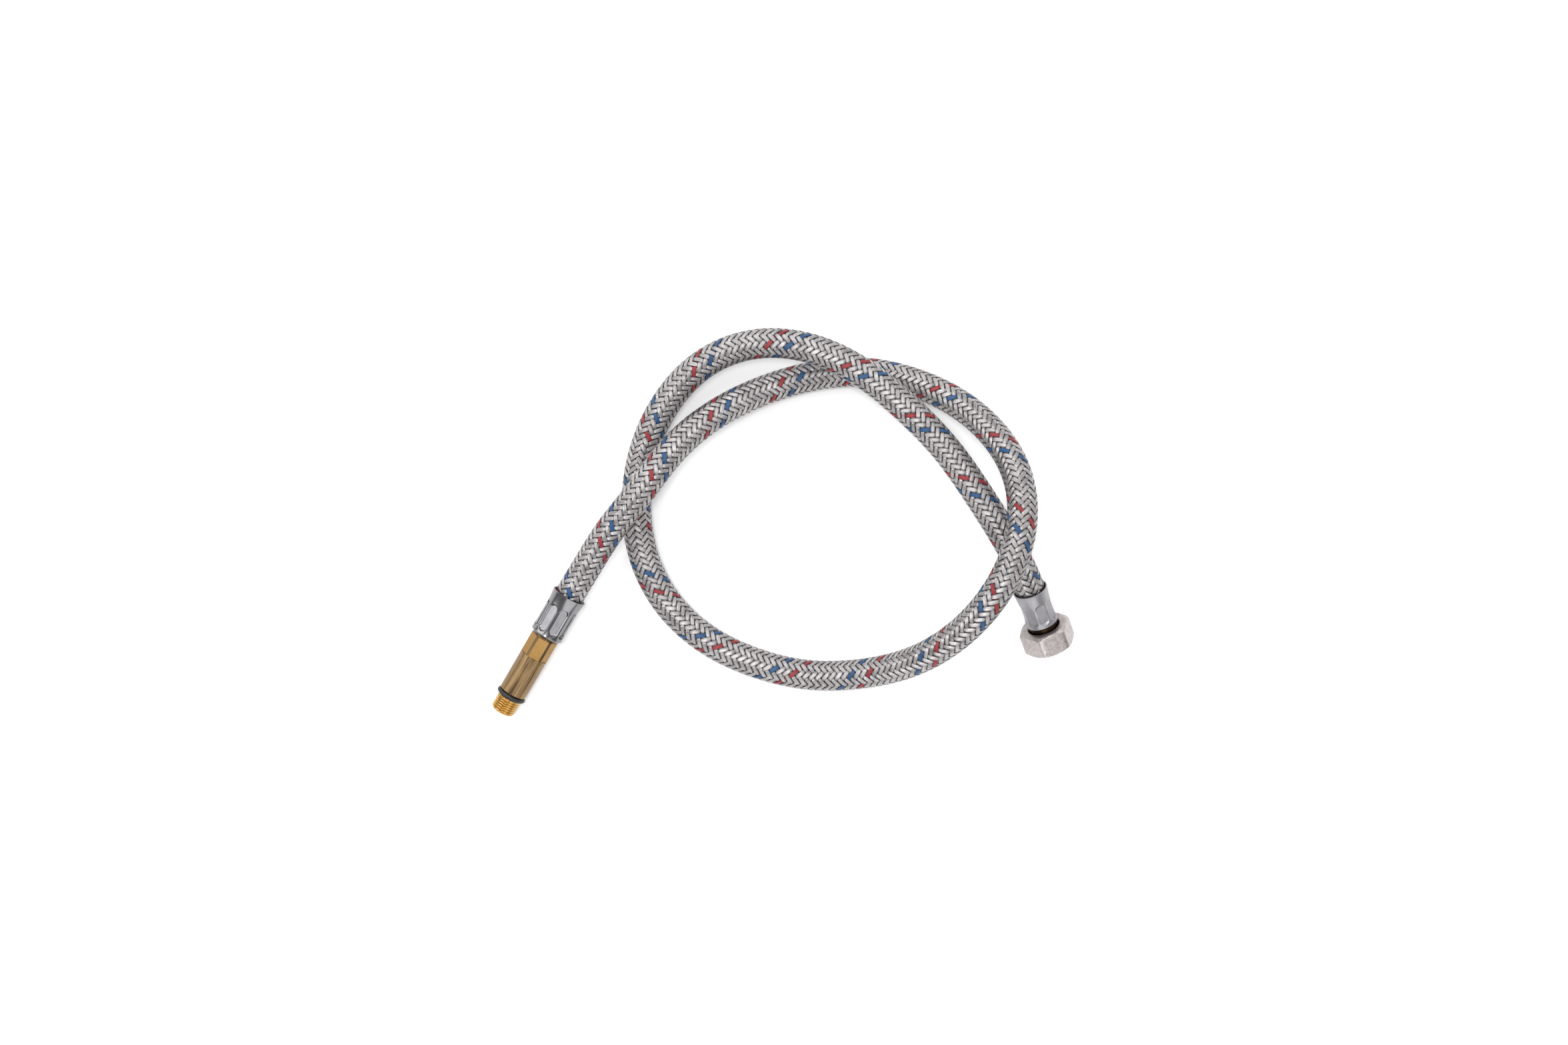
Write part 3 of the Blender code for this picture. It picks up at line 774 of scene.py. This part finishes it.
def thread_rows(start, end, pitch, depth, major, fade, inward=False):
    """Rows of a helical thread: the ridge climbs one pitch a turn and fades at its ends."""
    rows = []
    for z in np.arange(start, end + 1e-9, pitch / ROWS_PER_TURN):
        amount = min(1.0, max(0.0, (z - start) / fade), max(0.0, (end - z) / fade))

        def radius(angles, z=z, amount=amount):
            phase = ((z - start) / pitch - angles / math.tau) % 1.0
            ridge = np.clip(RIDGE_SLOPE / 2 - RIDGE_SLOPE * np.abs(phase - 0.5), 0, 1)
            cut = depth * (1 - ridge) * amount
            return major + cut if inward else major - cut
        rows.append((radius, z))
    return rows


SKIN, FLATS, CUT, DARKENED = range(4)  # finishes of the male tail


def male_nipple():
    """Barbed shank, collar, neck, milled flats, long round tail, ring groove and thread, in one."""
    hex_start = MALE_FERRULE_LENGTH + CLEARANCE
    hex_end = hex_start + HEX_LENGTH
    shoulder = hex_end + TAIL_LENGTH
    thread = shoulder + 2 * (RING_SECTION + CLEARANCE)
    tip = thread + M10_LENGTH

    def milled(angles):
        off = (angles + math.pi / 6) % (math.pi / 3) - math.pi / 6
        return np.minimum(TAIL_RADIUS, HEX_FLATS / np.cos(off))

    collar_end = MALE_FERRULE_LENGTH - FERRULE_WALL - CLEARANCE
    collar = collar_end - COLLAR_LENGTH
    root = SHANK_RADIUS - BARB_HEIGHT
    rows = []
    for start in np.arange(SHANK_START, collar - BARB_PITCH, BARB_PITCH):
        rows += [(root, start), (SHANK_RADIUS, start + BARB_REACH * BARB_PITCH)]
    rows += [(root, collar - BARB_RUNOUT), (root, collar)]
    rows += [(COLLAR_RADIUS, collar), (COLLAR_RADIUS, collar_end)]
    rows += [(NECK_RADIUS, collar_end), (NECK_RADIUS, hex_start)]
    # the neck takes the darker brass as painted shade under the ferrule's foot
    marks = [(len(rows), DARKENED)]
    rows += [(HEX_NECK_RADIUS, hex_start), (HEX_NECK_RADIUS, hex_start + HEX_NECK)]
    marks.append((len(rows), FLATS))
    rows += [(milled, z) for z in np.linspace(hex_start + HEX_NECK, hex_end, FLAT_ROWS)]
    marks.append((len(rows), SKIN))
    tail_start, tail_end = hex_end + FLAT_STEP, shoulder - SHOULDER_CHAMFER
    rows += [(TAIL_RADIUS, z) for z in np.linspace(tail_start, tail_end, TAIL_ROWS)]
    marks.append((len(rows), CUT))
    rows += [(TAIL_RADIUS - SHOULDER_CHAMFER, shoulder), (GROOVE_RADIUS, shoulder)]
    rows += [(GROOVE_RADIUS, thread - GROOVE_FOOT), (M10_MAJOR - M10_DEPTH, thread - GROOVE_TOP)]
    for reach, z in thread_rows(thread, tip, M10_PITCH, M10_DEPTH, M10_MAJOR, M10_FADE):
        limit = M10_MAJOR - max(0.0, z - (tip - M10_CHAMFER))
        rows.append((lambda angles, reach=reach, limit=limit: np.minimum(reach(angles), limit), z))
    rows += [(BORE_RADIUS + BORE_CHAMFER, tip), (BORE_RADIUS, tip - BORE_CHAMFER)]
    rows.append((BORE_RADIUS, SHANK_START))

    # Between the flats, the skin of the round bar is left, in darker brass
    middles = (np.arange(TAIL_SEGMENTS) + 0.5) * math.tau / TAIL_SEGMENTS
    on_flat = milled(middles) < TAIL_RADIUS
    finish_of_face = np.full((len(rows), TAIL_SEGMENTS), FLATS)
    for (start, finish), (end, _) in zip(marks, marks[1:] + [(len(rows), CUT)]):
        finish_of_face[start:end] = np.where(on_flat, FLATS, DARKENED) if finish == FLATS else finish
    mesh = turned(
        "male_tail", MALE, rows, TAIL_SEGMENTS, [DRAWN_BRASS, MILLED_BRASS, CUT_THREAD, DARKENED_BRASS],
        finish_of_face, turn=MALE_TURN, sharp=25.0,
    )
    return new_piece("male_tail", mesh, "line", "male_nipple")


def o_ring():
    """Rubber ring in the groove behind the tail's thread."""
    section_points = 28
    middle = MALE_FERRULE_LENGTH + CLEARANCE + HEX_LENGTH + TAIL_LENGTH + CLEARANCE + RING_SECTION
    major = GROOVE_RADIUS + CLEARANCE + RING_SECTION
    around = np.linspace(0, math.tau, section_points, endpoint=False)
    rows = [(major + RING_SECTION * math.cos(a), middle + RING_SECTION * math.sin(a)) for a in around]
    mesh = turned("tail_o_ring", MALE, rows, PLAIN_SEGMENTS, [RING_RUBBER], sharp=80.0)
    return new_piece("tail_o_ring", mesh, "line", "male_o_ring")


# ---------------------------------------------------------------- swivel nut end

NUT_FLATS = 0.0095
NUT_HEIGHT = 0.0093
NUT_GAP = 0.0015  # between the ferrule and the nut
NUT_BACK = NUT_FERRULE_LENGTH + NUT_GAP
NUT_BACK_WALL = 0.0013
NUT_FACE_RADIUS = 0.0091
NUT_CHAMFER = 0.0011
NUT_CORNER_POWER = 24.0  # the higher, the sharper the corners
CHAMFER_BLEND = 0.00012  # softness of the edge between the chamfer and the flats
NUT_END = 0.0015  # length at each end that has the chamfer's close rows
FIRST_DEPTH, LAST_DEPTH = 0.00012, NUT_CHAMFER * 1.15  # of those rows, from the end face
PAST_CHAMFER = 1.0  # a depth at which the chamfer takes nothing off
CHAMFER_ROWS, FLANK_ROWS = 20, 10
HOLE_CHAMFER = 0.0004
NUT_TURN = math.radians(-32)  # of the flats about the axis
NUT_SEGMENTS = 240
FACE_EDGE = ((0.0003, 0.0), (0.00012, 0.00003))  # rounding of the end faces: inwards, along the axis
NUT_CLEARANCE = 0.0006  # round the stem, and behind and in front of the thread
G38_FADE = 0.0008
G38_MINOR, G38_DEPTH, G38_PITCH = 0.00748, 0.00075, 0.001337
STEM_RADIUS = 0.0058
FLANGE_RADIUS = 0.0070
FLANGE_THICKNESS = 0.0010
NUT_TRAVEL = 0.0012
WASHER_THICKNESS = 0.0015
WASHER_HOLE = 0.0045
INSERT_ROUNDING, WASHER_ROUNDING = 0.00015, 0.0002


def nut_insert():
    """Plain shank, collar and stem, with the flange that holds the nut."""
    flange_back = NUT_BACK + NUT_BACK_WALL + CLEARANCE
    flange_front = flange_back + FLANGE_THICKNESS
    collar_end = NUT_FERRULE_LENGTH - FERRULE_WALL - CLEARANCE
    outline = [
        (SHANK_RADIUS, SHANK_START), (SHANK_RADIUS, collar_end - COLLAR_LENGTH),
        (COLLAR_RADIUS, collar_end - COLLAR_LENGTH), (COLLAR_RADIUS, collar_end), (NECK_RADIUS, collar_end),
        (NECK_RADIUS, NUT_FERRULE_LENGTH + CLEARANCE), (STEM_RADIUS, NUT_FERRULE_LENGTH + CLEARANCE),
        (STEM_RADIUS, flange_back), (FLANGE_RADIUS, flange_back), (FLANGE_RADIUS, flange_front),
        (BORE_RADIUS, flange_front), (BORE_RADIUS, SHANK_START),
    ]
    rows = rounded(outline, INSERT_ROUNDING)
    # the insert is near-black brass as painted shade, where it sits between the ferrule and the nut
    mesh = turned("flanged_insert", NUT, rows, PLAIN_SEGMENTS, [SHADED_BRASS])
    return new_piece("flanged_insert", mesh, "line", "nut_insert")


def swivel_nut():
    """Hexagon nut with turned-off corners at both ends, and a real thread inside."""
    corner = NUT_FLATS / math.cos(math.pi / 6)
    cone = (corner - NUT_FACE_RADIUS) / NUT_CHAMFER
    facings = np.arange(6) * math.pi / 3 + math.pi / 6

    def hexagon(depth):
        """Outer radii at one depth from the nearer end face."""
        def radius(angles):
            facing = np.clip(np.cos(angles[:, None] - facings), 0, None)
            outline = NUT_FLATS / np.sum(facing ** NUT_CORNER_POWER, axis=1) ** (1 / NUT_CORNER_POWER)
            limit = NUT_FACE_RADIUS + depth * cone
            gap = outline - limit
            return 0.5 * (outline + limit - np.sqrt(gap * gap + CHAMFER_BLEND * CHAMFER_BLEND))
        return radius

    front = NUT_BACK + NUT_HEIGHT
    depths = np.linspace(FIRST_DEPTH, LAST_DEPTH, CHAMFER_ROWS)
    rows = [(NUT_FACE_RADIUS - inward, NUT_BACK + depth) for inward, depth in FACE_EDGE]
    rows += [(hexagon(depth), NUT_BACK + depth) for depth in depths]
    flank = np.linspace(NUT_BACK + NUT_END, front - NUT_END, FLANK_ROWS)
    rows += [(hexagon(PAST_CHAMFER), z) for z in flank]
    rows += [(hexagon(depth), front - depth) for depth in depths[::-1]]
    rows += [(NUT_FACE_RADIUS - inward, front - depth) for inward, depth in FACE_EDGE[::-1]]
    rows.append((G38_MINOR + G38_DEPTH, front))

    # Inside: the thread, the step that bears on the flange, and the hole for the stem
    step = NUT_BACK + NUT_BACK_WALL
    deep = step + NUT_CLEARANCE
    cut = thread_rows(
        deep + G38_FADE, front - NUT_CLEARANCE, G38_PITCH, G38_DEPTH, G38_MINOR, G38_FADE, inward=True,
    )
    rows += cut[::-1]
    bore = STEM_RADIUS + NUT_CLEARANCE
    rows += [(G38_MINOR, deep), (G38_MINOR, step), (bore, step)]
    rows += [(bore, NUT_BACK + HOLE_CHAMFER), (bore + HOLE_CHAMFER, NUT_BACK)]
    mesh = turned("hex_swivel_nut", NUT, rows, NUT_SEGMENTS, [NICKEL], turn=NUT_TURN, sharp=40.0)
    return new_piece("hex_swivel_nut", mesh, "nut", "swivel_nut")


def sealing_washer():
    """Flat ring in the nut's thread, in front of the flange by a clearance and the nut's travel."""
    back = NUT_BACK + NUT_BACK_WALL + CLEARANCE + FLANGE_THICKNESS + CLEARANCE + NUT_TRAVEL
    outer = G38_MINOR - CLEARANCE
    outline = [
        (outer, back), (outer, back + WASHER_THICKNESS), (WASHER_HOLE, back + WASHER_THICKNESS),
        (WASHER_HOLE, back),
    ]
    rows = rounded(outline, WASHER_ROUNDING)
    mesh = turned("flat_washer", NUT, rows, PLAIN_SEGMENTS, [SEAL_FIBRE])
    return new_piece("flat_washer", mesh, "nut_seal", "sealing_washer")


# ---------------------------------------------------------------- studio

FLOOR_HALF = 3.0
FLOOR_DROP = 0.0001  # keeps the table just under the hose
ROOM_LIGHT = 0.30
CAMERA_PLACE = (0.0, 0.0505, 0.8)
LENS_LENGTH = 44.98  # in millimetres, as is the sensor's width
SENSOR_WIDTH = 36

# Each soft light's name, place from the middle of the object, size, and power in watts
LIGHTS = [
    ("key", (-0.80, 0.50, 0.90), 1.3, 14.0),
    ("right", (0.95, 0.20, 0.75), 1.2, 4.5),
    ("front", (0.10, -1.00, 0.65), 1.2, 8.0),
    ("back", (0.10, 1.10, 0.70), 1.2, 7.0),
    ("above", (-0.06, 0.03, 1.20), 0.26, 7.0),
]


def make_floor():
    """Wide matt white table top."""
    half = FLOOR_HALF
    corners = [(-half, -half, 0), (half, -half, 0), (half, half, 0), (-half, half, 0)]
    mesh = bpy.data.meshes.new("table_top")
    mesh.from_pydata(corners, [], [(0, 1, 2, 3)])
    paper = Finish("white_table")
    mesh.materials.append(paper.surface(Base_Color=(0.93, 0.93, 0.93), Roughness=0.8))
    floor = bpy.data.objects.new("table_top", mesh)
    bpy.context.collection.objects.link(floor)
    floor.location = (0, 0, -FLOOR_DROP)


def area_light(name, place, aim, size, power):
    """Square soft light that faces a point."""
    lamp = bpy.data.lights.new(name, "AREA")
    lamp.shape = "SQUARE"
    lamp.size = size
    lamp.energy = power
    obj = bpy.data.objects.new(name, lamp)
    bpy.context.collection.objects.link(obj)
    obj.location = place
    obj.rotation_euler = (aim - place).to_track_quat("-Z", "Y").to_euler()


def make_studio():
    """Floor, soft lights, a grey room and the camera above."""
    middle = sum((Vector(corner) for corner in cad_box), Vector()) / 2
    make_floor()
    for name, offset, size, power in LIGHTS:
        area_light(name, middle + Vector(offset), middle, size, power)
    world = bpy.data.worlds.new("room")
    world.use_nodes = True
    backdrop = world.node_tree.nodes["Background"]
    backdrop.inputs["Color"].default_value = (1, 1, 1, 1)
    backdrop.inputs["Strength"].default_value = ROOM_LIGHT
    scene = bpy.context.scene
    scene.world = world
    scene.view_settings.view_transform = "Standard"
    lens = bpy.data.cameras.new("overhead")
    lens.sensor_width = SENSOR_WIDTH
    lens.lens = LENS_LENGTH
    camera = bpy.data.objects.new("overhead", lens)
    bpy.context.collection.objects.link(camera)
    camera.location = CAMERA_PLACE
    scene.camera = camera


# ---------------------------------------------------------------- build

make_studio()
make_hose()
ferrule(
    "crimped_male_ferrule", MALE, MALE_FERRULE_LENGTH, girths=(0.00715, 0.0065, 0.0069),
    flares=(0.0070, 0.0045), pocket=(0.00085, 0.0021, 0.00036), crimp_turn=math.radians(22.5),
    finish=POLISHED_SLEEVE, node="male_ferrule",
)
ferrule(
    "crimped_nut_ferrule", NUT, NUT_FERRULE_LENGTH, girths=(0.0069, 0.0061, 0.0066),
    flares=(0.0095, 0.0075), pocket=(0.00032, 0.0027, 0.0009), crimp_turn=math.radians(-3),
    finish=SATIN_SLEEVE, node="nut_ferrule",
)
male_nipple()
o_ring()
nut_insert()
swivel_nut()
sealing_washer()
